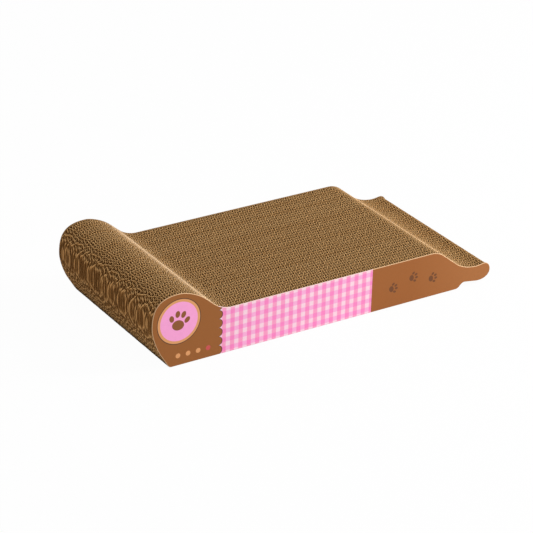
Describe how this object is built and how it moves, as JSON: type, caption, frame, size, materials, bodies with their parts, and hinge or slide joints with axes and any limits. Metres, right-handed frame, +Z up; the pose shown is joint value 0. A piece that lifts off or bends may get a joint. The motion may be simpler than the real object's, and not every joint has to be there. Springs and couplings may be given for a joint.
{
  "type": "cat scratcher lounge",
  "caption": "Low corrugated-board cat lounge: upright glued sheets form a bolster roll, a flat scratching seat and a curled tail end between two printed side panels.",
  "frame": {"origin": "on the floor, under the middle of the object's box", "axes": "+X from the bolster roll to the tail, +Y from the front panel to the back panel, +Z up"},
  "size_m": [0.5566, 0.2626, 0.106],
  "materials": {
    "corrugated_kraft": "uncoated brown kraft, cut edges of liners and flutes",
    "printed_board": "matt printed face in pink gingham and brown, pale cut edge"
  },
  "bodies": {
    "root": {"corrugated_sheet_01": "corrugated_kraft", "corrugated_sheet_02": "corrugated_kraft", "corrugated_sheet_03": "corrugated_kraft", "corrugated_sheet_04": "corrugated_kraft", "corrugated_sheet_05": "corrugated_kraft", "corrugated_sheet_06": "corrugated_kraft", "corrugated_sheet_07": "corrugated_kraft", "corrugated_sheet_08": "corrugated_kraft", "corrugated_sheet_09": "corrugated_kraft", "corrugated_sheet_10": "corrugated_kraft", "corrugated_sheet_11": "corrugated_kraft", "corrugated_sheet_12": "corrugated_kraft", "corrugated_sheet_13": "corrugated_kraft", "corrugated_sheet_14": "corrugated_kraft", "corrugated_sheet_15": "corrugated_kraft", "corrugated_sheet_16": "corrugated_kraft", "corrugated_sheet_17": "corrugated_kraft", "corrugated_sheet_18": "corrugated_kraft", "corrugated_sheet_19": "corrugated_kraft", "corrugated_sheet_20": "corrugated_kraft", "corrugated_sheet_21": "corrugated_kraft", "corrugated_sheet_22": "corrugated_kraft", "corrugated_sheet_23": "corrugated_kraft", "corrugated_sheet_24": "corrugated_kraft", "corrugated_sheet_25": "corrugated_kraft", "corrugated_sheet_26": "corrugated_kraft", "corrugated_sheet_27": "corrugated_kraft", "corrugated_sheet_28": "corrugated_kraft", "corrugated_sheet_29": "corrugated_kraft", "corrugated_sheet_30": "corrugated_kraft", "corrugated_sheet_31": "corrugated_kraft", "corrugated_sheet_32": "corrugated_kraft", "corrugated_sheet_33": "corrugated_kraft", "corrugated_sheet_34": "corrugated_kraft", "corrugated_sheet_35": "corrugated_kraft", "corrugated_sheet_36": "corrugated_kraft", "corrugated_sheet_37": "corrugated_kraft", "corrugated_sheet_38": "corrugated_kraft", "corrugated_sheet_39": "corrugated_kraft", "corrugated_sheet_40": "corrugated_kraft", "side_panel_front": "printed_board", "side_panel_back": "printed_board"}
  },
  "joints": []
}
